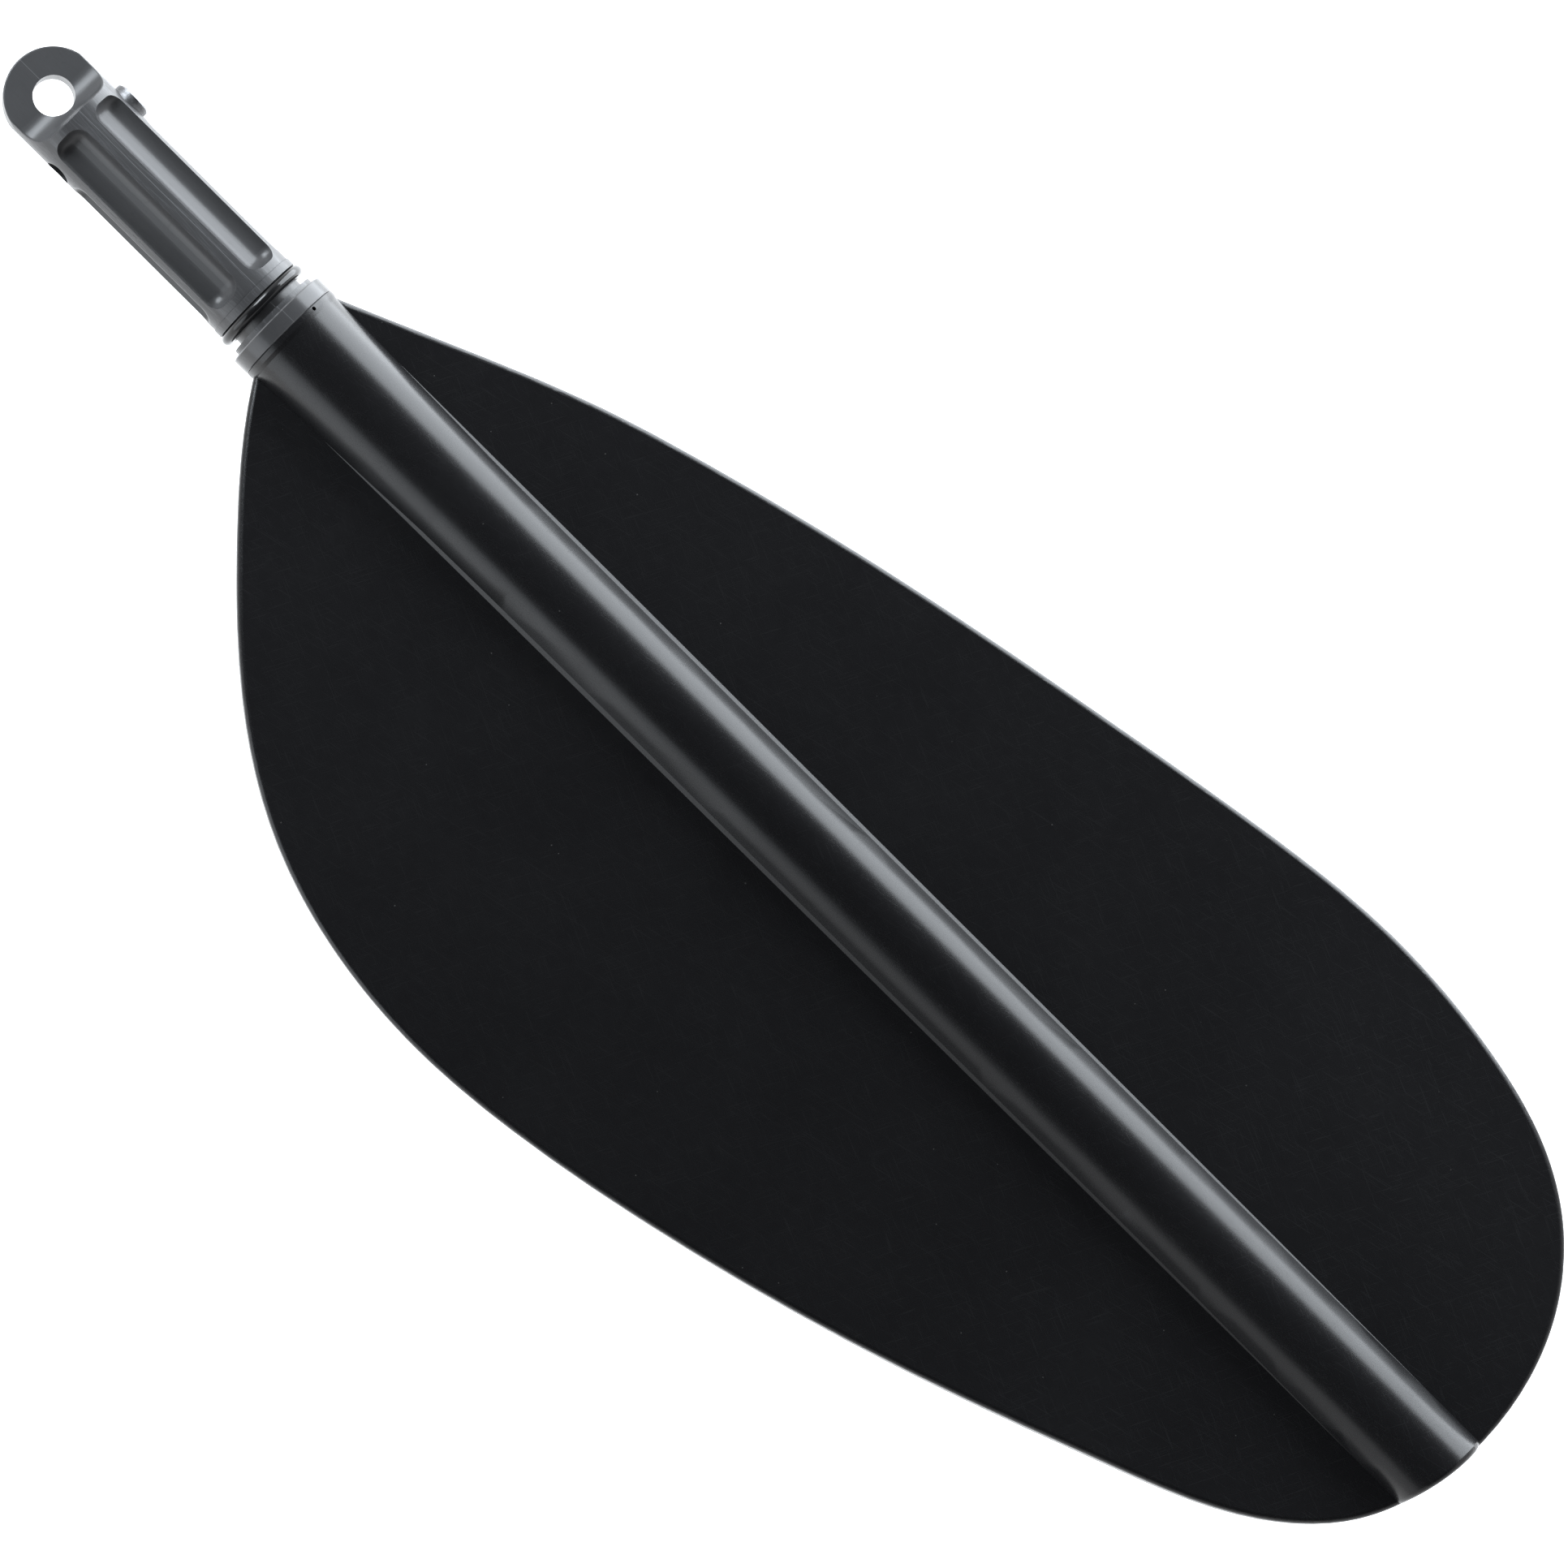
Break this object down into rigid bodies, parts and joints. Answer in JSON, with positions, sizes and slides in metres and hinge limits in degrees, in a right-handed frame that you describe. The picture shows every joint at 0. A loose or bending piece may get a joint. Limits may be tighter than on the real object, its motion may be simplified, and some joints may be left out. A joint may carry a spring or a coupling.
{
  "type": "detachable oar blade",
  "caption": "Detachable asymmetric oar blade with a full-length round spine and a fluted plug-in ferrule with a press button.",
  "frame": {"origin": "on the oar's axis, in the collar's face that the shaft's end stops against", "axes": "+X along the oar towards the blade's tip, +Z out of the blade's front face, +Y towards the narrow wing and the press button"},
  "size_m": [0.5959, 0.2299, 0.035],
  "materials": {
    "ferrule_nylon": "satin, glass-filled",
    "blade_skin": "satin black, fine moulded grain",
    "seal_rubber": "smooth, slightly glossy",
    "button_steel": "turned, slightly worn",
    "spring_steel": "drawn wire",
    "tube_composite": "matt, wound fibre",
    "core_foam": "closed-cell foam",
    "plug_plastic": "matt"
  },
  "bodies": {
    "blade": {"ferrule_body": "ferrule_nylon", "o_ring": "seal_rubber", "button_spring": "spring_steel", "blade_front_shell": "blade_skin", "blade_rear_shell": "blade_skin", "spine_tube": "tube_composite", "spine_foam": "core_foam", "tube_end_plug": "plug_plastic", "small_wing_core": "core_foam", "large_wing_core": "core_foam"},
    "button": {"lock_button": "button_steel", "button_screw": "button_steel", "button_washer": "button_steel"}
  },
  "joints": [
    {"name": "button_press", "type": "slide", "parent": "blade", "child": "button", "axis": [0, -1, 0], "range_m": [0, 0.0028], "stiffness_N_per_m": 900, "springref_m": -0.006, "deforming": ["button_spring"]}
  ]
}
